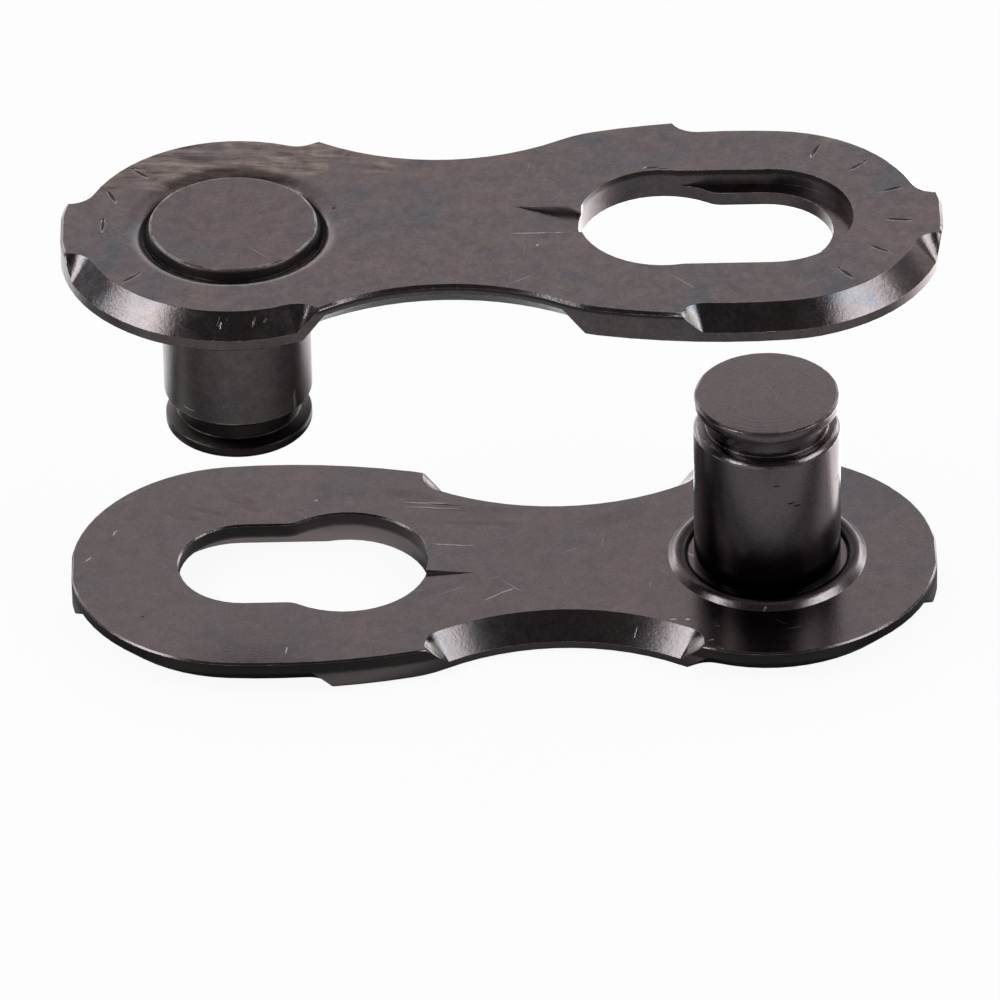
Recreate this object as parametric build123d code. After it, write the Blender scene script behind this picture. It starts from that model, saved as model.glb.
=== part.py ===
from build123d import *
from math import cos, hypot, pi, sin, sqrt
import os

# A quick link for a half-inch roller chain: two identical halves, each a stamped plate with one riveted pin.
# Millimetres. Each half is drawn with its pin's axis at x = 0, its slot towards +X and its inner
# face at z = 0, with the pin standing up. In the assembly +X runs along the chain and +Z along the pins.

# Link
pitch = 12.70                 # pin to pin, with the link locked
lock_travel = 2.45            # how far a pin slides from a slot's wide end to its narrow end
parted_gap = 9.10             # between the two inner faces, with the halves drawn apart

# Plate outline
plate_thickness = 0.80
pin_end_radius = 4.14
slot_end_radius = 4.14
slot_end_shift = 0.09         # the round end's centre, past the locked pin's centre
nose_flat = 0.03              # taken off the tip of each round end
nose_blend = 1.5              # rounding at both sides of a nose's flat
waist_radius = 5.46
shoulder_start = 8.12         # where waist and shoulder meet, from the pin's axis
shoulder_start_half_width = 3.67
shoulder_blend = 3.0
shoulder_radius = 14.6        # the plate's widest stretch, beside the slot
outer_edge_chamfer = 0.07     # rolled over by the stamping die
inner_edge_chamfer = 0.04

# Bevels coined into the plate's edge, 45 degrees
end_bevel = 0.51              # round both ends, on the outer face
waist_bevel = 0.56            # along both sides of the waist, on the inner face
run_out_radius = 0.65
pin_nose_half_width = 1.05    # left square between the two bevels of the pin end
slot_nose_half_width = 0.85
pin_bevel_end = 1.55          # where the pin end's bevels turn out to the edge, from the pin's axis
slot_bevel_start = 10.50
waist_bevel_start = 1.62
waist_bevel_end = 8.35

# Keyhole slot
slot_narrow_width = 3.20      # takes the pin's neck
slot_wide_width = 4.06        # lets the pin's flange through
slot_blend = 0.60
slot_edge_chamfer = 0.04
flange_clearance = 0.22       # round the flange, in the counterbore
counterbore_depth = 0.42
counterbore_over_run = 0.10   # past the locked pin's centre

# Retaining ramp at the slot's inner end, pushed through from the outer face
ramp_width = 1.12
ramp_trough_length = 1.50
ramp_trough_depth = 0.25
ramp_rise_length = 1.10
ramp_rise = 0.10

# Pin
pin_radius = 1.78
head_radius = 2.00
head_foot_radius = 2.14       # the head's wall flares down to this, and its seat narrows from it
head_proud = 0.06
head_sink = 0.20              # depth of the head's foot below the outer face
head_edge = 0.05
dish_radius = 2.62            # shallow dish that riveting leaves round the head
dish_turn_radius = 2.40       # where the dish turns down more steeply
dish_turn_depth = 0.05
inner_width = 3.88            # plate to shoulder: the room that the chain's inner link needs
shoulder_chamfer = 0.11
neck_radius = 1.48
pin_length = 4.75             # above the plate's inner face
flange_radius = 1.76
flange_cone = 0.12
flange_rim = 0.27
flange_edge = 0.05

# Collar raised round the pin on the inner face
collar_gap = 0.15
collar_width = 0.48
collar_height = 0.18
collar_facets = 8             # flats that round the collar off

# What follows from those sizes
locked_x = pitch
wide_x = pitch - lock_travel
slot_end_x = locked_x + slot_end_shift
slot_inner_end = wide_x - slot_wide_width / 2
counterbore_radius = flange_radius + flange_clearance
tool_clear = 3.0              # how far cutting tools stand outside the plate
same_place = 0.001            # points nearer than this are one


def circles_cross(first, second):
    """The two points where circles cross, each circle as (x, y, radius), the lower point first."""
    ax, ay, ra = first
    bx, by, rb = second
    span = hypot(bx - ax, by - ay)
    along = (ra ** 2 - rb ** 2 + span ** 2) / (2 * span)
    across = sqrt(ra ** 2 - along ** 2)
    ux, uy = (bx - ax) / span, (by - ay) / span
    points = [(ax + along * ux + k * across * uy, ay + along * uy - k * across * ux) for k in (-1, 1)]
    return sorted(points, key=lambda point: point[1])


def short_arc(circle, start, end):
    """The shorter arc of a circle between two of its points."""
    cx, cy, radius = circle
    mx, my = start[0] + end[0] - 2 * cx, start[1] + end[1] - 2 * cy
    reach = radius / hypot(mx, my)
    return ThreePointArc(start, (cx + mx * reach, cy + my * reach), end)


shoulder_corner = (shoulder_start, shoulder_start_half_width)
waist_x, waist_y = circles_cross((0, 0, pin_end_radius + waist_radius), (*shoulder_corner, waist_radius))[1]
shoulder_x, shoulder_y = circles_cross(
    (*shoulder_corner, shoulder_radius),
    (slot_end_x, 0, shoulder_radius - slot_end_radius),
)[0]


def plate_outline():
    """Two round ends with small flat noses, a hollow waist and a wide shoulder beside the slot.

    The waist runs smoothly into the pin end, and the shoulder into the slot end."""
    pin_end = (0, 0, pin_end_radius)
    waist = (waist_x, waist_y, waist_radius)
    shoulder = (shoulder_x, shoulder_y, shoulder_radius)
    slot_end = (slot_end_x, 0, slot_end_radius)
    touch = pin_end_radius / (pin_end_radius + waist_radius)
    waist_start = (waist_x * touch, waist_y * touch)
    meet = slot_end_radius / (shoulder_radius - slot_end_radius)
    shoulder_end = (slot_end_x + (slot_end_x - shoulder_x) * meet, -shoulder_y * meet)
    nose_x = nose_flat - pin_end_radius
    nose_y = sqrt(pin_end_radius ** 2 - nose_x ** 2)
    far_nose_x = slot_end_x + slot_end_radius - nose_flat
    far_nose_y = sqrt(slot_end_radius ** 2 - (far_nose_x - slot_end_x) ** 2)
    side = Curve() + [
        short_arc(pin_end, (nose_x, nose_y), waist_start),
        short_arc(waist, waist_start, shoulder_corner),
        short_arc(shoulder, shoulder_corner, shoulder_end),
        short_arc(slot_end, shoulder_end, (far_nose_x, far_nose_y)),
    ]
    noses = Curve() + [
        Line((nose_x, nose_y), (nose_x, -nose_y)),
        Line((far_nose_x, far_nose_y), (far_nose_x, -far_nose_y)),
    ]
    face = make_face(side + mirror(side, about=Plane.XZ) + noses)
    blends = ((nose_x, nose_blend), (shoulder_start, shoulder_blend), (far_nose_x, nose_blend))
    for corner_x, radius in blends:
        face = fillet([v for v in face.vertices() if abs(v.X - corner_x) < same_place], radius)
    return face


outline = plate_outline()


def bevel_punch(band, depth):
    """A pair of punches, one to each side, that coin bevels into the plate's edge down to this depth.

    The band is the punch's plan at the face. Its ends slope like the bevel, and its corners are rounded."""
    band = offset(offset(band, amount=-run_out_radius), amount=run_out_radius)
    punch = Pos(0, 0, -tool_clear) * extrude(band, amount=tool_clear + depth)
    punch = chamfer(punch.edges().group_by(Axis.Z)[-1], depth)
    return punch + mirror(punch, about=Plane.XZ)


def plan_region(*points):
    """A flat region given by its corners."""
    return make_face(Polyline(*points, close=True))


def keyhole(narrow_end_x, narrow_half_width):
    """Plan of a keyhole: the round wide end run into a narrower slot."""
    slot = SlotCenterToCenter(narrow_end_x - wide_x, 2 * narrow_half_width)
    middle_x = (wide_x + narrow_end_x) / 2
    return Pos(wide_x, 0) * Circle(slot_wide_width / 2) + Pos(middle_x, 0) * slot


def ramp_wedge(length, height):
    """A wedge that rises from nothing to its height at the slot's inner end, and goes on into the slot."""
    start_x = slot_inner_end - length
    end_x = slot_inner_end + ramp_width / 2
    end_z = height * (end_x - start_x) / length
    profile = make_face(Polyline((start_x, 0), (end_x, 0), (end_x, end_z), close=True))
    return extrude(Plane.XZ * profile, amount=ramp_width / 2, both=True)


def make_plate():
    """The plate with its outer face down: stamped, coined, slotted and fitted for its pin."""
    blank = Pos(0, 0, -plate_thickness) * extrude(outline, amount=plate_thickness)
    blank = chamfer(blank.edges().group_by(Axis.Z)[0], outer_edge_chamfer)
    blank = chamfer(blank.edges().group_by(Axis.Z)[-1], inner_edge_chamfer)

    far_y = pin_end_radius + tool_clear
    far_x = slot_end_x + slot_end_radius + tool_clear
    turn_y = sqrt((pin_end_radius - end_bevel) ** 2 - pin_bevel_end ** 2)
    inside_ends = offset(outline, amount=-end_bevel)
    pin_band = plan_region(
        (-far_y, pin_nose_half_width),
        (0, pin_nose_half_width),
        (pin_bevel_end, turn_y),
        (pin_bevel_end + 2 * tool_clear, turn_y + tool_clear),
        (pin_bevel_end, far_y + tool_clear),
        (-far_y, far_y),
    ) - inside_ends
    slot_band = plan_region(
        (slot_bevel_start, slot_nose_half_width),
        (far_x, slot_nose_half_width),
        (far_x, far_y),
        (slot_bevel_start, far_y),
    ) - inside_ends
    waist_band = plan_region(
        (waist_bevel_start, 0),
        (waist_bevel_end, 0),
        (waist_bevel_end, far_y),
        (waist_bevel_start, far_y),
    ) & Pos(waist_x, waist_y) * Circle(waist_radius + waist_bevel)
    blank -= Pos(0, 0, -plate_thickness) * bevel_punch(pin_band, end_bevel)
    blank -= Pos(0, 0, -plate_thickness) * bevel_punch(slot_band, end_bevel)
    blank -= mirror(bevel_punch(waist_band, waist_bevel), about=Plane.XY)

    cusp_x = wide_x + sqrt((slot_wide_width ** 2 - slot_narrow_width ** 2) / 4)
    slot_plan = keyhole(locked_x, slot_narrow_width / 2)
    slot_plan = fillet([v for v in slot_plan.vertices() if abs(v.X - cusp_x) < same_place], slot_blend)
    slot = Pos(0, 0, -plate_thickness) * extrude(slot_plan, amount=2 * plate_thickness)
    counterbore_plan = keyhole(locked_x + counterbore_over_run, counterbore_radius)
    blank -= slot
    blank -= Pos(0, 0, -plate_thickness) * extrude(counterbore_plan, amount=counterbore_depth)
    for face in (blank.faces().sort_by(Axis.Z)[0], blank.faces().sort_by(Axis.Z)[-1]):
        blank = chamfer(face.inner_wires()[0].edges(), slot_edge_chamfer)
    blank += ramp_wedge(ramp_rise_length, ramp_rise) - slot
    blank -= Pos(0, 0, -plate_thickness) * ramp_wedge(ramp_trough_length, ramp_trough_depth)

    seat = make_face(Polyline(
        (0, -plate_thickness),
        (dish_radius, -plate_thickness),
        (dish_turn_radius, dish_turn_depth - plate_thickness),
        (head_foot_radius, head_sink - plate_thickness),
        (pin_radius, 0),
        (0, 0),
        close=True,
    ))
    blank -= revolve(Plane.XZ * seat, Axis.Z)

    collar_middle = pin_radius + collar_gap + collar_width / 2
    turns = [pi * step / collar_facets for step in range(collar_facets + 1)]
    collar = make_face(Polyline(
        *[(collar_middle - collar_width / 2 * cos(turn), collar_height * sin(turn)) for turn in turns],
        close=True,
    ))
    return blank + revolve(Plane.XZ * collar, Axis.Z)


def make_pin():
    """The pin standing up: riveted head at the foot, plain body, neck, and a flange at the tip."""
    foot_z = head_sink - plate_thickness
    head_z = -plate_thickness - head_proud
    profile = make_face(Polyline(
        (0, head_z),
        (head_radius - head_edge, head_z),
        (head_radius, head_z + head_edge),
        (head_foot_radius, foot_z),
        (pin_radius, 0),
        (pin_radius, inner_width - shoulder_chamfer),
        (pin_radius - shoulder_chamfer, inner_width),
        (neck_radius, inner_width),
        (neck_radius, pin_length - flange_rim - flange_cone),
        (flange_radius, pin_length - flange_rim),
        (flange_radius, pin_length - flange_edge),
        (flange_radius - flange_edge, pin_length),
        (0, pin_length),
        close=True,
    ))
    return revolve(Plane.XZ * profile, Axis.Z)


plate = make_plate()
pin = make_pin()
inner_face_z = head_proud + plate_thickness
lower = Location((pitch / 2, 0, inner_face_z), (0, 0, 180))
upper = Location((-pitch / 2, 0, inner_face_z + parted_gap), (180, 0, 0))

os.makedirs("parts", exist_ok=True)
export_step(lower * plate, "parts/lower_plate.step")
export_step(lower * pin, "parts/lower_pin.step")
export_step(upper * plate, "parts/upper_plate.step")
export_step(upper * pin, "parts/upper_pin.step")
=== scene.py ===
import bmesh
import bpy
import math
from mathutils import Matrix, Vector


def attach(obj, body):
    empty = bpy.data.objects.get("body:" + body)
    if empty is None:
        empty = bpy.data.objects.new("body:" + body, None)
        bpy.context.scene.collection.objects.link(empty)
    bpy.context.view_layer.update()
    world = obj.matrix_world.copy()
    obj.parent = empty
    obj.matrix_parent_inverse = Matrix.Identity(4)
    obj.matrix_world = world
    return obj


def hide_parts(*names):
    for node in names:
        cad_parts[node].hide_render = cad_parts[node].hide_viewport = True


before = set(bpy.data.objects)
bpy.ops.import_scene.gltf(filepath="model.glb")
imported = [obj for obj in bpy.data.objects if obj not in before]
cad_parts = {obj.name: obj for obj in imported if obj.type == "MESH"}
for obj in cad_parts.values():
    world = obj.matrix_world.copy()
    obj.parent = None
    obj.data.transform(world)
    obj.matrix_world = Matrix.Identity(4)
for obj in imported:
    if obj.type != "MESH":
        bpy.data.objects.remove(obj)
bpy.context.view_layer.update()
mm = 0.001

linkSize = {"pitch": 12.70, "headProud": 0.06, "plate": 0.80, "gap": 9.10}  # as in the solids, in millimetres
lowerFace = linkSize["headProud"] + linkSize["plate"]
upperFace = lowerFace + linkSize["gap"]
upperTop = upperFace + linkSize["plate"]
halves = {  # x of the pin's axis, z of the plate's inner face, and which way the pin points
    "lower": (linkSize["pitch"] / 2, lowerFace, 1),
    "upper": (-linkSize["pitch"] / 2, upperFace, -1),
}


def deselectAll():
    if bpy.context.mode != "OBJECT":
        bpy.ops.object.mode_set(mode="OBJECT")
    bpy.ops.object.select_all(action="DESELECT")


def makeActive(piece):
    deselectAll()
    piece.select_set(True)
    bpy.context.view_layer.objects.active = piece


def applyModifiers(piece):
    makeActive(piece)
    for modifier in list(piece.modifiers):
        bpy.ops.object.modifier_apply(modifier=modifier.name)


def roundEdges(piece, look, method):
    edges = piece.modifiers.new("roundEdges", "BEVEL")
    edges.limit_method = method
    edges.angle_limit = math.radians(look["edgeAngle"])
    edges.width = look["edgeRadius"] * mm
    edges.segments = look["edgeSteps"]
    edges.harden_normals = True
    edges.material = 1  # worn steel
    applyModifiers(piece)
    bpy.ops.object.shade_smooth_by_angle(angle=math.radians(look["smoothAngle"]))


def evenNormals(piece):
    weighted = piece.modifiers.new("evenNormals", "WEIGHTED_NORMAL")
    weighted.weight = 100  # large faces lead
    weighted.keep_sharp = True
    applyModifiers(piece)


# Nodes that the materials are built from.
def addNode(tree, kind, **settings):
    node = tree.nodes.new(kind)
    for key, value in settings.items():
        setattr(node, key, value)
    return node


def mathNode(tree, operation, *values):
    node = addNode(tree, "ShaderNodeMath", operation=operation)
    for socket, value in zip(node.inputs, values):
        if isinstance(value, (int, float)):
            socket.default_value = value
        else:
            tree.links.new(value, socket)
    return node.outputs["Value"]


def timesNode(tree, first, second):
    return mathNode(tree, "MULTIPLY", first, second)


def splitNode(tree, value):
    node = addNode(tree, "ShaderNodeSeparateXYZ")
    tree.links.new(value, node.inputs[0])
    return node.outputs


def lengthNode(tree, value):
    node = addNode(tree, "ShaderNodeVectorMath", operation="LENGTH")
    tree.links.new(value, node.inputs[0])
    return node.outputs["Value"]


def fadeNode(tree, value, start, end):
    node = addNode(tree, "ShaderNodeMapRange", interpolation_type="SMOOTHSTEP")
    tree.links.new(value, node.inputs["Value"])
    node.inputs["From Min"].default_value = min(start, end)
    node.inputs["From Max"].default_value = max(start, end)
    if start > end:
        node.inputs["To Min"].default_value = 1
        node.inputs["To Max"].default_value = 0
    return node.outputs["Result"]


def rampNode(tree, value, stops):
    node = addNode(tree, "ShaderNodeValToRGB")
    elements = node.color_ramp.elements
    while len(elements) < len(stops):
        elements.new(0.5)
    for element, (position, colour) in zip(elements, stops):
        element.position = position
        element.color = (*colour, 1) if isinstance(colour, tuple) else (colour, colour, colour, 1)
    tree.links.new(value, node.inputs["Fac"])
    return node.outputs["Color"]


def noiseNode(tree, place, scale, detail, rough, distortion=0):
    node = addNode(tree, "ShaderNodeTexNoise")
    node.inputs["Scale"].default_value = scale
    node.inputs["Detail"].default_value = detail
    node.inputs["Roughness"].default_value = rough
    node.inputs["Distortion"].default_value = distortion
    tree.links.new(place, node.inputs["Vector"])
    return node.outputs["Fac"]


def stretchNode(tree, place, angle, along, across):
    node = addNode(tree, "ShaderNodeMapping", vector_type="TEXTURE")
    node.inputs["Rotation"].default_value = (0, 0, math.radians(angle))
    node.inputs["Scale"].default_value = (1 / along, 1 / across, 1 / across)
    tree.links.new(place, node.inputs["Vector"])
    return node.outputs["Vector"]


def mixColour(tree, share, first, second, blend="MIX"):
    node = addNode(tree, "ShaderNodeMix", data_type="RGBA", blend_type=blend)
    for socket, value in ((node.inputs[0], share), (node.inputs[6], first), (node.inputs[7], second)):
        if isinstance(value, (int, float)):
            socket.default_value = value
        elif isinstance(value, tuple):
            socket.default_value = (*value, 1)
        else:
            tree.links.new(value, socket)
    return node.outputs[2]


# Blacked steel. A noise is its scale, detail, roughness and distortion.
steelLook = {
    "brown": (0.133, 0.103, 0.100),
    "base": (0.120, 0.096, 0.101),
    "blue": (0.098, 0.091, 0.103),
    "tan": (0.240, 0.187, 0.165),
    "rust": (0.150, 0.114, 0.103),
    # bare sheared steel, partly its own lighter colour and partly a painted reflection of the floor
    "shearedAndSheen": (0.26, 0.215, 0.22),
    "dark": (0.062, 0.046, 0.046),
    # pale: worn and scratched steel, and also painted highlights and painted light on walls
    "pale": (0.42, 0.38, 0.37),
    # near black for dark marks and stamped ticks, and for painted shade
    "soot": (0.012, 0.009, 0.009),
    "roughness": 0.20,
    "grainRoughness": 0.10,
    "smudgeRoughness": 0.12,
    "cloudNoise": (520, 5, 0.62, 0.8),
    "cloudSpread": 0.16,
    "smudgeNoise": (2600, 6, 0.68, 0.4),
    "smudgeRange": (0.34, 0.66),
    "smudgeDark": 0.13,
    "smudgeLight": 0.12,
    "grainNoise": (15000, 3, 0.6),
    "grainTones": [(0.3, 0.85), (0.7, 1.15)],
    "gritNoise": (32000, 2, 0.5),
    "peenNoise": (11000, 3, 0.5),
    "rubNoise": (1300, 5, 0.7),
    "rubEdge": (0.42, 0.62),
    "hairs": [(28, 420, 11000), (-47, 520, 12000), (83, 620, 13000)],  # angle, scale along, scale across
    "hairNoise": (1.0, 2, 0.5),
    "hairEdge": (0.74, 0.80),
    "ringNoise": (11000, 2),
    "bumpHeight": 0.004,  # millimetres for a height of 1
    "grainHeight": 0.45,
    "gritHeight": 0.35,
    "peenHeight": 0.45,
    "hairHeight": -0.5,
    # share of the painted shade ring
    "sootRingShare": 0.9,
}
pieceLook = {  # how much of each finish a piece has, unless its own marks say otherwise
    "mottle": 1.0,
    "scratches": 0.35,
    "wear": 0.0,
    "streaks": 0.0,
    "streakEdge": 0.0,  # x where the brown streaks begin to fade in, to the left
    "axis": None,  # x of the pin's axis
    "turned": 0.0,  # height of turning rings round that axis
    "sootRing": None,  # radii of a painted shade ring: clear, full, still full, clear
    "paintedShadeBand": None,  # heights of a painted shade band: clear, full, then its share
    "cutWalls": None,  # the same for the darker band at the top of the cut walls, then the share of the sheared colour: bare steel, lightened further as a painted reflection
    # Strokes: x, y, z, angle, length, width and, where it isn't the usual one, height.
    "smears": [],
    "dull": [],
    "bright": [],
    "ticks": [],
    "paintedWallLight": [],
    "scoopHighlights": [],
}


def cloudySteel(tree, look, cloud, smudge, grain):
    spread = look["cloudSpread"] / look["mottle"]
    colour = rampNode(tree, cloud, [
        (0.5 - spread, look["blue"]), (0.5 - spread / 4, look["base"]),
        (0.5 + spread / 3, look["base"]), (0.5 + spread, look["brown"])])
    tones = (1 - look["smudgeDark"] * look["mottle"], 1 + look["smudgeLight"] * look["mottle"])
    smudges = rampNode(tree, smudge, list(zip(look["smudgeRange"], tones)))
    colour = mixColour(tree, 1.0, colour, smudges, "MULTIPLY")
    return mixColour(tree, 1.0, colour, rampNode(tree, grain, look["grainTones"]), "MULTIPLY")


streakLook = {
    "stretch": (-5, 700, 4200),  # angle, scale along, scale across
    "lineNoise": (1.0, 4, 0.65, 0.4),
    "blotNoise": (1500, 6, 0.75, 1.0),
    "blotShare": 0.35,
    "patchNoise": (420, 3, 0.6),
    "leftFade": 3,  # millimetres past the streaks' edge
    "leftPull": 0.30,
    "rearFade": (-0.5, 3.2),
    "rearPull": 0.42,
    "patchEdge": (0.98, 1.16),
    "rustShare": 0.6,
    "tanEdge": (0.49, 0.62),
    "darkEdge": (0.50, 0.38),
}


def brownStreaks(tree, place, look, colour):
    lines = noiseNode(tree, stretchNode(tree, place, *streakLook["stretch"]), *streakLook["lineNoise"])
    blots = noiseNode(tree, place, *streakLook["blotNoise"])
    lines = timesNode(tree, lines, 1 - streakLook["blotShare"])
    lines = mathNode(tree, "MULTIPLY_ADD", blots, streakLook["blotShare"], lines)

    x, y, z = splitNode(tree, place)
    edge = look["streakEdge"]
    left = fadeNode(tree, x, edge * mm, (edge - streakLook["leftFade"]) * mm)
    start, full = streakLook["rearFade"]
    rear = fadeNode(tree, y, start * mm, full * mm)
    patch = noiseNode(tree, place, *streakLook["patchNoise"])
    patch = mathNode(tree, "MULTIPLY_ADD", left, streakLook["leftPull"], patch)
    patch = mathNode(tree, "MULTIPLY_ADD", rear, streakLook["rearPull"], patch)
    patch = timesNode(tree, fadeNode(tree, patch, *streakLook["patchEdge"]), look["streaks"])

    colour = mixColour(tree, timesNode(tree, patch, streakLook["rustShare"]), colour, look["rust"])
    for finish, edge in (("tan", streakLook["tanEdge"]), ("dark", streakLook["darkEdge"])):
        colour = mixColour(tree, timesNode(tree, fadeNode(tree, lines, *edge), patch), colour, look[finish])
    return colour


def hairScratches(tree, place, look):
    total = None
    for angle, along, across in look["hairs"]:
        hair = noiseNode(tree, stretchNode(tree, place, angle, along, across), *look["hairNoise"])
        hair = fadeNode(tree, hair, *look["hairEdge"])
        total = hair if total is None else mathNode(tree, "MAXIMUM", total, hair)
    return timesNode(tree, total, look["scratches"])


strokeLook = {
    "height": 0.24,  # of a stroke that gives none of its own, in millimetres
    "edge": (1.15, 0.6),  # shares of a stroke's size where it is clear and full
    "wander": 0.07,  # how far the edges wander, in millimetres
    "wanderScale": 6000,
    "smearEdge": (0.38, 0.62),
    "smearShare": 0.5,
    "finishes": {  # colour, its share, and height
        "dull": ("soot", 0.85, -0.8),
        "bright": ("pale", 0.8, -1.0),
        "ticks": ("soot", 0.8, -7.0),
    },
}


def strokeMask(tree, place, strokes):
    total = None
    for x, y, z, angle, length, width, *tall in strokes:
        size = (length, width, tall[0] if tall else strokeLook["height"])
        local = addNode(tree, "ShaderNodeMapping", vector_type="TEXTURE")
        local.inputs["Location"].default_value = (x * mm, y * mm, z * mm)
        local.inputs["Rotation"].default_value = (0, 0, math.radians(angle))
        local.inputs["Scale"].default_value = [side / 2 * mm for side in size]
        tree.links.new(place, local.inputs["Vector"])
        mask = fadeNode(tree, lengthNode(tree, local.outputs["Vector"]), *strokeLook["edge"])
        total = mask if total is None else mathNode(tree, "MAXIMUM", total, mask)
    return total


def wanderingPlace(tree, place):
    wander = strokeLook["wander"] * mm
    wobble = addNode(tree, "ShaderNodeTexNoise")
    wobble.inputs["Scale"].default_value = strokeLook["wanderScale"]
    tree.links.new(place, wobble.inputs["Vector"])
    middle = addNode(tree, "ShaderNodeVectorMath", operation="SUBTRACT")
    middle.inputs[1].default_value = (wander / 2, wander / 2, 0)
    tree.links.new(place, middle.inputs[0])
    shift = addNode(tree, "ShaderNodeVectorMath", operation="MULTIPLY_ADD")
    shift.inputs[1].default_value = (wander, wander, 0)
    tree.links.new(wobble.outputs["Color"], shift.inputs[0])
    tree.links.new(middle.outputs[0], shift.inputs[2])
    return shift.outputs[0]


wallLook = {  # walls and slanted faces are told by the height of their normal
    "wall": (0.45, 0.25),
    "slantFrom": (0.45, 0.6),
    "slantTo": (0.97, 0.88),
    "bandEdgeWander": 0.10,  # how far smudges move the edges of the height bands, painted shade among them, in millimetres
    "paintedWallLightShare": 0.9,
    "tearNoise": (9000, 2, 0.6),
    "tearHeight": 0.8,
    "roughness": 0.16,
    # share and extra roughness of the painted highlights on bevel run-outs
    "scoopHighlightShare": 0.6,
    "scoopRoughness": 0.22,
}


def cutWalls(tree, place, uneven, look, rise, colour, height, rough):
    normal = splitNode(tree, addNode(tree, "ShaderNodeTexCoord").outputs["Normal"])
    level = mathNode(tree, "ABSOLUTE", normal["Z"])
    wall = fadeNode(tree, level, *wallLook["wall"])
    slant = timesNode(tree, fadeNode(tree, level, *wallLook["slantFrom"]),
                      fadeNode(tree, level, *wallLook["slantTo"]))

    clear, full, share, shearedAndSheenShare = look["cutWalls"]
    # Darker band at the top of the walls; the sheared colour is bare steel lightened further as a painted
    # reflection.
    band = timesNode(tree, fadeNode(tree, rise, clear * mm, full * mm), wall)
    # Pale strokes on the walls are painted light.
    pale = timesNode(tree, strokeMask(tree, place, look["paintedWallLight"]), wall)
    colour = mixColour(tree, timesNode(tree, wall, shearedAndSheenShare), colour, look["shearedAndSheen"])
    colour = mixColour(tree, timesNode(tree, band, share), colour, look["soot"])
    colour = mixColour(tree, timesNode(tree, pale, wallLook["paintedWallLightShare"]), colour, look["pale"])
    tears = timesNode(tree, noiseNode(tree, place, *wallLook["tearNoise"]), wall)
    height = mathNode(tree, "MULTIPLY_ADD", tears, wallLook["tearHeight"], height)

    # Painted highlights on the bevel run-outs, also made rougher.
    scoopHighlight = timesNode(tree, strokeMask(tree, uneven, look["scoopHighlights"]), slant)
    colour = mixColour(tree, timesNode(tree, scoopHighlight, wallLook["scoopHighlightShare"]), colour, look["pale"])
    rough = mathNode(tree, "MULTIPLY_ADD", scoopHighlight, wallLook["scoopRoughness"], rough)
    rough = mathNode(tree, "MULTIPLY_ADD", wall, wallLook["roughness"], rough)
    return colour, height, rough


def axisRadius(tree, place, axis):
    centre = addNode(tree, "ShaderNodeMapping")
    centre.inputs["Location"].default_value = (-axis * mm, 0, 0)
    centre.inputs["Scale"].default_value = (1, 1, 0)
    tree.links.new(place, centre.inputs["Vector"])
    return lengthNode(tree, centre.outputs["Vector"])


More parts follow.
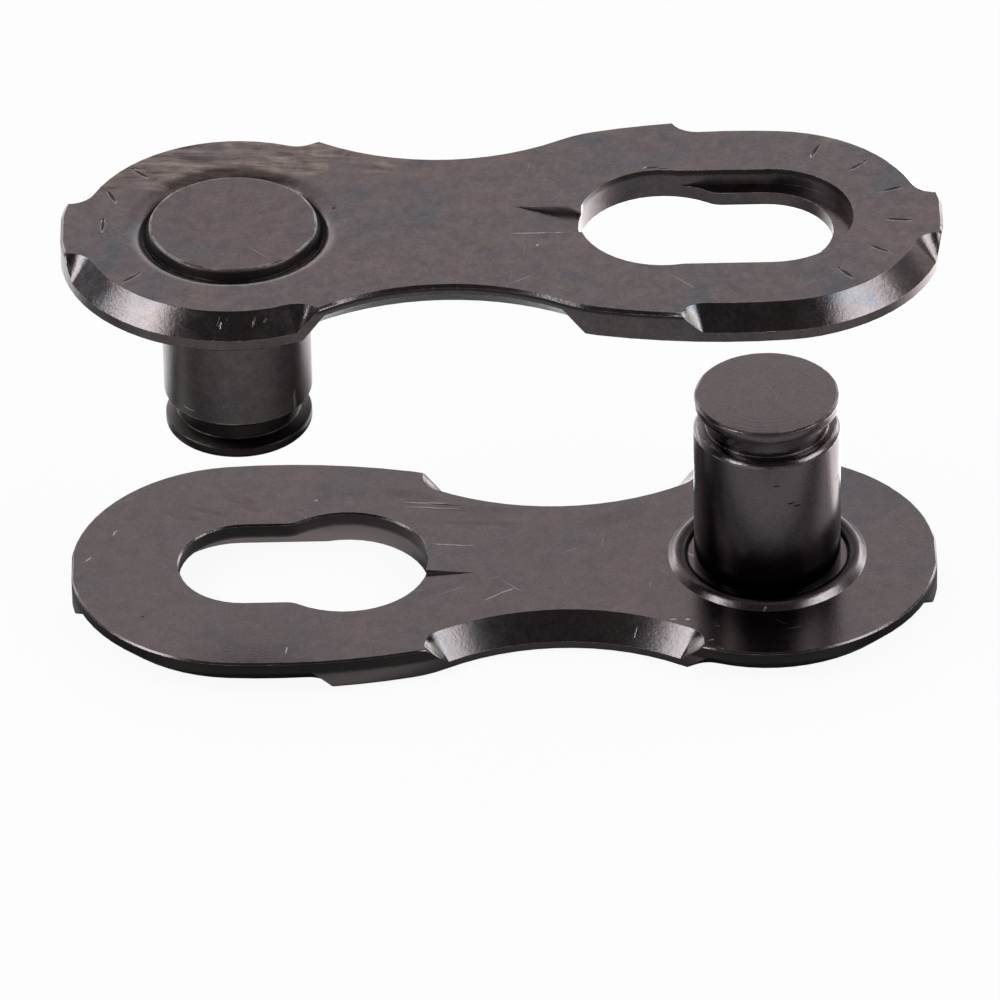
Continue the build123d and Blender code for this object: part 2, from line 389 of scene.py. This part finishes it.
def blackedSteel(name, **own):
    look = {**steelLook, **pieceLook, **own}
    material = bpy.data.materials.new(name)
    material.use_nodes = True
    tree = material.node_tree
    shader = tree.nodes["Principled BSDF"]
    shader.inputs["Metallic"].default_value = 1.0
    place = addNode(tree, "ShaderNodeTexCoord").outputs["Object"]
    uneven = wanderingPlace(tree, place)
    kinds = ("cloud", "smudge", "grain", "grit", "peen")
    cloud, smudge, grain, grit, peen = [noiseNode(tree, place, *look[kind + "Noise"]) for kind in kinds]

    # Clouds, streaks, hair scratches and worn places
    colour = cloudySteel(tree, look, cloud, smudge, grain)
    if look["streaks"]:
        colour = brownStreaks(tree, place, look, colour)
    scratch = hairScratches(tree, place, look)
    colour = mixColour(tree, scratch, colour, look["pale"])
    if look["wear"]:
        rub = fadeNode(tree, noiseNode(tree, place, *look["rubNoise"]), *look["rubEdge"])
        colour = mixColour(tree, timesNode(tree, rub, look["wear"]), colour, look["pale"])
    height = timesNode(tree, grain, look["grainHeight"])
    height = mathNode(tree, "MULTIPLY_ADD", grit, look["gritHeight"], height)
    height = mathNode(tree, "MULTIPLY_ADD", peen, look["peenHeight"], height)
    height = mathNode(tree, "MULTIPLY_ADD", scratch, look["hairHeight"], height)
    smooth = look["roughness"] - look["grainRoughness"] / 2
    rough = mathNode(tree, "MULTIPLY_ADD", grain, look["grainRoughness"], smooth)
    rough = mathNode(tree, "SUBTRACT", rough, look["smudgeRoughness"] / 2)
    rough = mathNode(tree, "MULTIPLY_ADD", smudge, look["smudgeRoughness"], rough)

    # Strokes
    if look["smears"]:
        patchy = fadeNode(tree, smudge, *strokeLook["smearEdge"])
        mask = timesNode(tree, strokeMask(tree, uneven, look["smears"]), patchy)
        colour = mixColour(tree, timesNode(tree, mask, strokeLook["smearShare"]), colour, look["dark"])
    for kind, (finish, share, depth) in strokeLook["finishes"].items():
        if look[kind]:
            mask = strokeMask(tree, place if kind == "ticks" else uneven, look[kind])
            colour = mixColour(tree, timesNode(tree, mask, share), colour, look[finish])
            height = mathNode(tree, "MULTIPLY_ADD", mask, depth, height)

    # Painted shade by height, cut walls, and what goes round the pin's axis, a painted shade ring among it
    rise = mathNode(tree, "MULTIPLY_ADD", smudge, wallLook["bandEdgeWander"] * mm, splitNode(tree, place)["Z"])
    if look["paintedShadeBand"]:
        clear, full, share = look["paintedShadeBand"]
        band = fadeNode(tree, rise, clear * mm, full * mm)
        colour = mixColour(tree, timesNode(tree, band, share), colour, look["soot"])
    if look["cutWalls"]:
        colour, height, rough = cutWalls(tree, place, uneven, look, rise, colour, height, rough)
    radius = axisRadius(tree, place, look["axis"])
    if look["turned"]:
        rings = addNode(tree, "ShaderNodeTexNoise", noise_dimensions="1D")
        rings.inputs["Scale"].default_value, rings.inputs["Detail"].default_value = look["ringNoise"]
        tree.links.new(radius, rings.inputs["W"])
        height = mathNode(tree, "MULTIPLY_ADD", rings.outputs["Fac"], look["turned"], height)
    # Painted shade ring round the axis.
    if look["sootRing"]:
        inner, full, fading, outer = look["sootRing"]
        band = timesNode(tree, fadeNode(tree, radius, inner * mm, full * mm),
                         fadeNode(tree, radius, outer * mm, fading * mm))
        colour = mixColour(tree, timesNode(tree, band, look["sootRingShare"]), colour, look["soot"])

    tree.links.new(colour, shader.inputs["Base Color"])
    tree.links.new(rough, shader.inputs["Roughness"])
    bump = addNode(tree, "ShaderNodeBump")
    bump.inputs["Strength"].default_value = 1.0
    bump.inputs["Distance"].default_value = look["bumpHeight"] * mm
    tree.links.new(height, bump.inputs["Height"])
    tree.links.new(bump.outputs["Normal"], shader.inputs["Normal"])
    return material


def bothSides(x, y, *rest):
    return [(x, -y, *rest), (x, y, *rest)]


# Plates: the solid's own shape, its collar rounded, its edges rolled and its run-outs blended.
plateLook = {
    "merge": 0.0001,
    "flat": 1.5,
    "edgeRadius": 0.028,
    "edgeAngle": 26,
    "edgeSteps": 2,
    "blendAngle": 70,
    "slanted": (0.2, 0.96),  # between a wall and a face, by the height of the normal
    "smoothAngle": 30,
    "sootRing": (1.95, 2.05, 2.12, 2.30),  # painted shade in the gap round head and pin
    "edgeWear": 0.45,
}
upperMarks = {
    "mottle": 1.25,
    "streaks": 1.0,
    "streakEdge": -0.8,
    "cutWalls": (10.62, 10.70, 0.7, 0.0),
    # Painted light on the slot's walls.
    "paintedWallLight": bothSides(0.95, 0.56, 10.66, 0, 2.60, 0.50, 0.70),
    # Painted highlights on the bevel run-outs.
    "scoopHighlights": bothSides(4.42, 4.00, 10.42, 0, 0.50, 0.50, 0.75),
    "dull": [
        (3.67, 2.12, upperTop, 10, 0.34, 0.10), (3.95, 2.06, upperTop, -6, 0.30, 0.05),
        (-3.94, 0.69, 10.74, 0, 0.10, 0.08), (-6.70, -3.80, 10.60, 64, 0.42, 0.05),
        (-6.50, -3.78, 10.60, 50, 0.36, 0.04)],
    "bright": [
        (0.88, -1.08, upperTop, 30, 0.09, 0.06), (-5.84, -3.80, 10.56, 62, 0.40, 0.05),
        (-5.57, -3.74, 10.57, 40, 0.14, 0.04), (-6.62, -3.86, 10.50, 76, 0.20, 0.04),
        (3.50, 2.14, upperTop, 40, 0.14, 0.04), (1.00, -0.55, upperTop, 0, 1.50, 0.05)],
    "ticks": [
        (-8.60, 2.30, upperTop, -47, 0.60, 0.10), (-9.25, 1.30, upperTop, -67, 0.60, 0.10),
        (-9.45, 0.10, upperTop, 88, 0.60, 0.10), (-8.75, -2.15, upperTop, 44, 0.60, 0.10),
        (7.60, 2.70, upperTop, 66, 0.60, 0.10), (8.60, 2.05, upperTop, 44, 0.60, 0.10),
        (9.35, 1.00, upperTop, 18, 0.60, 0.10), (9.50, -0.30, upperTop, -6, 0.60, 0.10),
        (9.05, -1.55, upperTop, -32, 0.60, 0.10), (8.15, -2.50, upperTop, -54, 0.60, 0.10)],
}
lowerMarks = {
    "mottle": 0.8,
    # Darker band at the top of the cut walls, and the sheared colour, partly a painted reflection.
    "cutWalls": (0.50, 0.62, 0.75, 0.8),
    # Painted light on the slot's walls.
    "paintedWallLight": bothSides(-1.20, 0.56, 0.91, 0, 1.90, 0.40, 0.40),
    # Painted highlights on the bevel run-outs.
    "scoopHighlights": [
        *bothSides(-1.70, 3.40, 0.60, 0, 0.45, 0.60, 0.75),
        *bothSides(4.50, 3.50, 0.60, 0, 0.45, 0.60, 0.75)],
    "smears": [
        (-7.90, 2.05, lowerFace, -22, 1.10, 0.28), (-7.20, 2.20, lowerFace, -24, 1.20, 0.22),
        (-6.50, 2.70, lowerFace, -26, 1.10, 0.40), (-6.20, 2.30, lowerFace, -24, 0.80, 0.18),
        (-2.30, 2.75, lowerFace, -16, 1.60, 0.40), (-0.80, 2.10, lowerFace, -6, 2.60, 0.34),
        (-0.60, 1.50, lowerFace, -4, 2.20, 0.20), (2.60, 1.60, lowerFace, 20, 1.80, 0.50)],
    "dull": [(-8.79, -2.14, lowerFace, 0, 0.10, 0.07), (-1.45, 2.30, lowerFace, -8, 1.0, 0.05)],
    "bright": [
        (-10.14, 0.29, lowerFace, 50, 0.24, 0.045), (-9.52, 1.38, lowerFace, 68, 0.26, 0.035),
        (-5.32, -3.61, lowerFace, 85, 0.30, 0.030), (-4.62, 2.61, lowerFace, 20, 0.12, 0.04),
        (-1.90, 2.41, lowerFace, -4, 1.1, 0.03), (-1.75, 2.20, lowerFace, -6, 1.3, 0.03),
        (-1.28, 0.57, 0.91, 1, 1.20, 0.06), (-0.37, -1.59, lowerFace, 33, 0.42, 0.030),
        (-0.04, -1.37, lowerFace, 29, 0.56, 0.035), (3.09, -2.75, 0.54, 70, 0.26, 0.04),
        (4.00, -2.64, 0.84, 0, 0.16, 0.06), (4.34, -2.65, 0.84, 20, 0.14, 0.06),
        (4.87, -3.53, lowerFace, 20, 0.20, 0.06), (5.05, -2.96, lowerFace, 10, 0.14, 0.05),
        (5.10, -3.86, 0.84, -30, 0.24, 0.06), (6.22, -2.37, 0.95, 60, 0.16, 0.05),
        (6.60, -2.85, lowerFace, -40, 0.44, 0.035), (6.95, -3.08, lowerFace, 15, 0.48, 0.035),
        (7.35, -2.95, lowerFace, -28, 0.40, 0.030)],
}


def betweenSlants(edge):
    low, high = plateLook["slanted"]
    return len(edge.link_faces) == 2 and all(low < abs(face.normal.z) < high for face in edge.link_faces)


def markEdges(piece):
    piece.data.attributes.new("bevel_weight_edge", "FLOAT", "EDGE")
    makeActive(piece)
    bpy.ops.object.mode_set(mode="EDIT")
    shape = bmesh.from_edit_mesh(piece.data)
    weight = shape.edges.layers.float.get("bevel_weight_edge")
    for edge in shape.edges:
        if len(edge.link_faces) == 2:
            turn = math.degrees(edge.calc_face_angle(0))
            blended = betweenSlants(edge) and turn < plateLook["blendAngle"]
            edge[weight] = 1.0 if turn > plateLook["edgeAngle"] and not blended else 0.0
    bmesh.update_edit_mesh(piece.data)
    bpy.ops.object.mode_set(mode="OBJECT")


def blendRunOuts(piece):
    makeActive(piece)
    bpy.ops.object.mode_set(mode="EDIT")
    shape = bmesh.from_edit_mesh(piece.data)
    for edge in shape.edges:
        if betweenSlants(edge) and all(face.material_index == 0 for face in edge.link_faces):
            edge.smooth = True
    bmesh.update_edit_mesh(piece.data)
    bpy.ops.object.mode_set(mode="OBJECT")


collarLook = {
    "reachSlack": 0.012,  # how near a corner must be to a ring's radius and height
    "riseSlack": 0.006,
    "rings": [  # radius and height of each ring of the collar: the solid's own, then the stamped one
        (2.392, 0.069, 2.362, 0.045), (2.340, 0.127, 2.312, 0.092), (2.262, 0.166, 2.262, 0.139),
        (2.170, 0.180, 2.200, 0.172), (2.078, 0.166, 2.100, 0.180), (2.000, 0.127, 2.020, 0.150),
        (1.948, 0.069, 1.960, 0.090)],
}


def shapeCollar(piece, axisX, faceZ, up):
    makeActive(piece)
    bpy.ops.object.mode_set(mode="EDIT")
    for radius, height, newRadius, newHeight in collarLook["rings"]:
        bpy.ops.mesh.select_all(action="DESELECT")
        bpy.ops.mesh.select_mode(type="VERT")
        shape = bmesh.from_edit_mesh(piece.data)
        found = 0
        for corner in shape.verts:
            reach = math.hypot(corner.co.x - axisX * mm, corner.co.y)
            rise = (corner.co.z - faceZ * mm) * up
            near = abs(reach - radius * mm) < collarLook["reachSlack"] * mm
            if near and abs(rise - height * mm) < collarLook["riseSlack"] * mm:
                corner.select = True
                found += 1
        bmesh.update_edit_mesh(piece.data)
        share = newRadius / radius
        bpy.ops.transform.resize(value=(share, share, 1), center_override=(axisX * mm, 0, faceZ * mm))
        bpy.ops.transform.translate(value=(0, 0, (newHeight - height) * up * mm))
        print("collar ring:", newRadius, found, "corners")
    bpy.ops.object.mode_set(mode="OBJECT")


def dressPlate(node, name, body, marks, axisX, faceZ, up):
    piece = bpy.data.objects.new(name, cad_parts[node].data.copy())
    bpy.context.scene.collection.objects.link(piece)
    makeActive(piece)
    bpy.ops.mesh.customdata_custom_splitnormals_clear()
    bpy.ops.object.mode_set(mode="EDIT")
    bpy.ops.mesh.select_all(action="SELECT")
    bpy.ops.mesh.remove_doubles(threshold=plateLook["merge"] * mm)
    bpy.ops.mesh.dissolve_limited(angle_limit=math.radians(plateLook["flat"]))
    bpy.ops.object.mode_set(mode="OBJECT")
    shapeCollar(piece, axisX, faceZ, up)
    markEdges(piece)
    steel = {**marks, "axis": axisX, "sootRing": plateLook["sootRing"]}
    piece.data.materials.clear()
    piece.data.materials.append(blackedSteel(name + "Steel", **steel))
    piece.data.materials.append(blackedSteel(name + "Edges", **{**steel, "wear": plateLook["edgeWear"]}))
    roundEdges(piece, plateLook, "WEIGHT")
    blendRunOuts(piece)
    evenNormals(piece)
    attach(piece, body)
    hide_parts(node)
    print("plate:", name, len(piece.data.polygons), "faces")


dressPlate("upper_plate", "upperPlate", "upper_half", upperMarks, *halves["upper"])
dressPlate("lower_plate", "lowerPlate", "lower_half", lowerMarks, *halves["lower"])


# Pins: turned on their own axis, ring by ring.
pinLook = {
    "segments": 144,
    "edgeRadius": 0.035,
    "edgeAngle": 20,
    "edgeSteps": 3,
    "smoothAngle": 30,
    "sootRing": (1.99, 2.03, 2.3, 2.4),  # painted shade down the side of the head
    "edgeWear": 0.55,
    "profile": [  # radius and height above the plate's inner face, in millimetres, from head to tip
        (1.97, -0.86), (2.00, -0.83), (2.14, -0.60), (1.78, 0.0), (1.78, 3.77), (1.67, 3.88),
        (1.48, 3.88), (1.48, 4.36), (1.76, 4.48), (1.76, 4.70), (1.71, 4.75)],
}
upperPinMarks = {
    "mottle": 1.3,
    "turned": 0.25,
    "scratches": 0.4,
    "roughness": 0.34,
    "base": (0.118, 0.090, 0.092),
    "blue": (0.100, 0.086, 0.092),
    # Painted shade over the neck and tip end.
    "paintedShadeBand": (6.25, 6.10, 0.85),
    # Painted highlight lines at the end of the body.
    "bright": [(-4.98, -1.14, 6.45, 0, 0.06, 0.3, 0.7), (-7.52, -1.33, 6.40, 0, 0.5, 0.3, 0.05)],
}
lowerPinMarks = {
    "mottle": 0.5,
    "turned": 0.35,
    "scratches": 0.15,
    # Painted shade darkening the pin towards its foot.
    "paintedShadeBand": (2.7, 1.6, 0.92),
    "dull": [
        (6.54, -1.77, 4.10, 0, 0.16, 0.12, 0.04), (6.88, -1.68, 3.54, 15, 0.22, 0.12, 0.05),
        (7.03, -1.66, 3.44, 20, 0.22, 0.12, 0.05), (8.02, -0.60, 3.50, 70, 0.30, 0.12, 0.04),
        (6.55, 0.24, 5.61, 20, 0.16, 0.04)],
}


def turnPin(node, name, body, marks, axisX, faceZ, up):
    rings = [(radius * mm, (faceZ + up * height) * mm) for radius, height in pinLook["profile"]]
    deselectAll()
    radius, z = rings[0]
    bpy.ops.mesh.primitive_circle_add(
        vertices=pinLook["segments"], radius=radius, fill_type="NGON", location=(axisX * mm, 0, z))
    piece = bpy.context.object
    piece.name = name
    bpy.ops.object.transform_apply(location=True, rotation=True, scale=True)
    bpy.ops.object.mode_set(mode="EDIT")
    bpy.ops.mesh.select_all(action="SELECT")
    for newRadius, newZ in rings[1:]:
        bpy.ops.mesh.extrude_region_move(TRANSFORM_OT_translate={"value": (0, 0, newZ - z)})
        share = newRadius / radius
        bpy.ops.transform.resize(value=(share, share, 1), center_override=(axisX * mm, 0, newZ))
        radius, z = newRadius, newZ
    bpy.ops.mesh.select_all(action="SELECT")
    bpy.ops.mesh.normals_make_consistent(inside=False)
    bpy.ops.object.mode_set(mode="OBJECT")
    steel = {**marks, "axis": axisX}
    piece.data.materials.append(blackedSteel(name + "Steel", **steel, sootRing=pinLook["sootRing"]))
    piece.data.materials.append(blackedSteel(name + "Edges", **steel, wear=pinLook["edgeWear"]))
    roundEdges(piece, pinLook, "ANGLE")
    evenNormals(piece)
    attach(piece, body)
    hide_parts(node)
    print("pin:", name, len(piece.data.polygons), "faces")


turnPin("upper_pin", "upperPin", "upper_half", upperPinMarks, *halves["upper"])
turnPin("lower_pin", "lowerPin", "lower_half", lowerPinMarks, *halves["lower"])


# Stage: pale floor, soft boxes, room and camera.
stageLook = {
    "floorSize": 2.0,
    "floorPaint": 0.8,
    "floorWhite": 0.93,  # share of the floor's white that no shadow takes away
    "mirroredSpan": 100,  # millimetres of floor that the next list covers
    "mirroredStart": -40,
    "mirrored": [  # what metal mirrors of the floor: millimetres behind the middle, paint, glow; the paint is darker near and under the object as painted shade
        (-38, 0.50, 0.0), (-19, 0.45, 0.0), (-12, 0.80, 0.0), (-8, 0.65, 0.0), (-5.5, 0.17, 0.0),
        (-4.9, 0.17, 0.0), (-4.7, 0.17, 0.3), (-4.3, 0.17, 0.3), (-4.15, 0.17, 0.0), (-3.5, 0.18, 0.0),
        (1.2, 0.44, 0.0), (1.5, 0.44, 0.5), (2.3, 0.43, 0.5), (2.6, 0.43, 0.0), (3.2, 0.15, 0.0),
        (5.6, 0.15, 0.0), (8.5, 0.95, 1.0), (58, 0.95, 0.8)],
    "cards": [  # bright cards that metal mirrors: where each fades in along x and y, and its glow
        (2.2, 3.0, 3.9, 4.5, 3.0), (10.8, 11.6, 0.5, 2.5, 3.0), (10.9, 11.8, -5.0, -0.5, 0.51)],
    "boxColour": (0.88, 1.0, 0.98),
    "boxes": {  # azimuth from the camera's side, elevation, distance, width, height, radiance
        "rightBox": (75, 44, 0.45, 0.24, 0.12, 6.0),
        "leftBox": (-79, 43, 0.45, 0.28, 0.12, 6.6),
        "rightRim": (136, 13, 0.45, 0.17, 0.10, 4.5),
        "leftRim": (-138, 13, 0.45, 0.15, 0.09, 2.5),
    },
    "room": {  # brightness by elevation, in front, at the sides and behind
        "side": [(-90, 0.5), (0, 0.5), (20, 0.30), (34, 0.5), (50, 0.7), (64, 0.15), (90, 0.6)],
        "front": [
            (-90, 0.5), (0, 0.30), (14, 0.22), (24, 0.42), (38, 0.42), (45, 0.10), (62, 0.08), (78, 0.5),
            (90, 0.6)],
        "back": [
            (-90, 1.8), (-4, 1.8), (14, 1.6), (26, 1.15), (35, 1.0), (50, 0.9), (62, 0.3), (90, 0.6)],
    },
    "roomPeak": 2,  # a ramp holds levels up to 1, so the room's are shares of this
    "frontEdge": (62, 46),  # degrees from the camera's azimuth
    "backEdge": (108, 136),
}


def makeRoom():
    world = bpy.data.worlds.new("room")
    bpy.context.scene.world = world
    world.use_nodes = True
    tree = world.node_tree
    tree.nodes.clear()
    x, y, z = splitNode(tree, addNode(tree, "ShaderNodeTexCoord").outputs["Generated"])
    elevation = mathNode(tree, "MULTIPLY_ADD", mathNode(tree, "ARCSINE", z), 1 / math.pi, 0.5)
    azimuth = mathNode(tree, "ARCTAN2", x, timesNode(tree, y, -1))
    azimuth = mathNode(tree, "DEGREES", mathNode(tree, "ABSOLUTE", azimuth))
    peak = stageLook["roomPeak"]
    levels = {}
    for part, stops in stageLook["room"].items():
        shares = [((angle + 90) / 180, level / peak) for angle, level in stops]
        levels[part] = rampNode(tree, elevation, shares)
    level = timesNode(tree, levels["side"], peak)
    for part in ("front", "back"):
        share = fadeNode(tree, azimuth, *stageLook[part + "Edge"])
        rest = timesNode(tree, level, mathNode(tree, "SUBTRACT", 1, share))
        level = mathNode(tree, "MULTIPLY_ADD", timesNode(tree, levels[part], share), peak, rest)
    seen = addNode(tree, "ShaderNodeLightPath").outputs["Is Camera Ray"]
    room = timesNode(tree, level, mathNode(tree, "SUBTRACT", 1, seen))
    background = addNode(tree, "ShaderNodeBackground")
    tree.links.new(mathNode(tree, "ADD", room, seen), background.inputs["Strength"])
    background.inputs["Color"].default_value = (1, 1, 1, 1)
    output = addNode(tree, "ShaderNodeOutputWorld")
    tree.links.new(background.outputs[0], output.inputs["Surface"])


def floorMaterial():
    material = bpy.data.materials.new("paleFloor")
    material.use_nodes = True
    tree = material.node_tree
    tree.nodes.clear()
    path = addNode(tree, "ShaderNodeLightPath").outputs
    x, y, z = splitNode(tree, addNode(tree, "ShaderNodeTexCoord").outputs["Object"])
    span, start = stageLook["mirroredSpan"], stageLook["mirroredStart"]
    along = mathNode(tree, "MULTIPLY_ADD", y, 1 / (span * mm), -start / span)
    places = [(behind - start) / span for behind, paint, glow in stageLook["mirrored"]]
    shades = [paint for behind, paint, glow in stageLook["mirrored"]]
    glows = [glow for behind, paint, glow in stageLook["mirrored"]]
    glow = rampNode(tree, along, list(zip(places, glows)))
    for left, leftFull, front, frontFull, level in stageLook["cards"]:
        card = timesNode(tree, fadeNode(tree, x, left * mm, leftFull * mm),
                         fadeNode(tree, y, front * mm, frontFull * mm))
        glow = mathNode(tree, "MAXIMUM", glow, timesNode(tree, card, level))
    paint = addNode(tree, "ShaderNodeBsdfDiffuse")
    shade = rampNode(tree, along, list(zip(places, shades)))
    shade = mixColour(tree, path["Is Glossy Ray"], (stageLook["floorPaint"],) * 3, shade)
    tree.links.new(shade, paint.inputs["Color"])
    glowing = addNode(tree, "ShaderNodeEmission")
    tree.links.new(timesNode(tree, glow, path["Is Glossy Ray"]), glowing.inputs["Strength"])
    lit = addNode(tree, "ShaderNodeAddShader")
    tree.links.new(paint.outputs[0], lit.inputs[0])
    tree.links.new(glowing.outputs[0], lit.inputs[1])
    white = addNode(tree, "ShaderNodeEmission")
    seen = addNode(tree, "ShaderNodeMixShader")
    tree.links.new(timesNode(tree, path["Is Camera Ray"], stageLook["floorWhite"]), seen.inputs["Fac"])
    tree.links.new(lit.outputs[0], seen.inputs[1])
    tree.links.new(white.outputs[0], seen.inputs[2])
    output = addNode(tree, "ShaderNodeOutputMaterial")
    tree.links.new(seen.outputs[0], output.inputs["Surface"])
    return material


def makeFloor():
    deselectAll()
    bpy.ops.mesh.primitive_plane_add(size=stageLook["floorSize"], location=(0, 0, 0))
    floor = bpy.context.object
    floor.name = "floor"
    floor.data.materials.append(floorMaterial())


def makeBox(name, azimuth, elevation, distance, width, height, radiance):
    turn, tilt = math.radians(azimuth), math.radians(elevation)
    back = Vector((math.sin(turn) * math.cos(tilt), -math.cos(turn) * math.cos(tilt), math.sin(tilt)))
    lamp = bpy.data.lights.new(name, "AREA")
    lamp.shape = "RECTANGLE"
    lamp.size = width
    lamp.size_y = height
    lamp.energy = radiance * math.pi * width * height
    lamp.color = stageLook["boxColour"]
    holder = bpy.data.objects.new(name, lamp)
    holder.location = back * distance
    holder.rotation_euler = back.to_track_quat("Z", "Y").to_euler()
    bpy.context.scene.collection.objects.link(holder)


makeFloor()
makeRoom()
for name, values in stageLook["boxes"].items():
    makeBox(name, *values)
print("stage: floor, room and", len(stageLook["boxes"]), "soft boxes")

cameraLook = {  # aim in millimetres, distance and clip in metres, lens in millimetres, angles in degrees
    "elevation": 35.28,
    "roll": 1.09,
    "distance": 0.29,
    "lens": 431.4,
    "aim": (-0.117, 0, 2.602),
    "clip": (0.01, 10),
}


def makeCamera():
    tilt = math.radians(cameraLook["elevation"])
    back = Vector((0, -math.cos(tilt), math.sin(tilt)))
    camera = bpy.data.objects.new("camera", bpy.data.cameras.new("camera"))
    bpy.context.scene.collection.objects.link(camera)
    camera.location = Vector(cameraLook["aim"]) * mm + back * cameraLook["distance"]
    facing = (-back).to_track_quat("-Z", "Y").to_matrix().to_4x4()
    roll = Matrix.Rotation(math.radians(-cameraLook["roll"]), 4, "Z")
    camera.rotation_euler = (facing @ roll).to_euler()
    camera.data.lens = cameraLook["lens"]
    camera.data.clip_start, camera.data.clip_end = cameraLook["clip"]
    bpy.context.scene.camera = camera
    print("camera:", cameraLook["lens"], "mm lens")


makeCamera()
bpy.context.scene.view_settings.view_transform = "Standard"
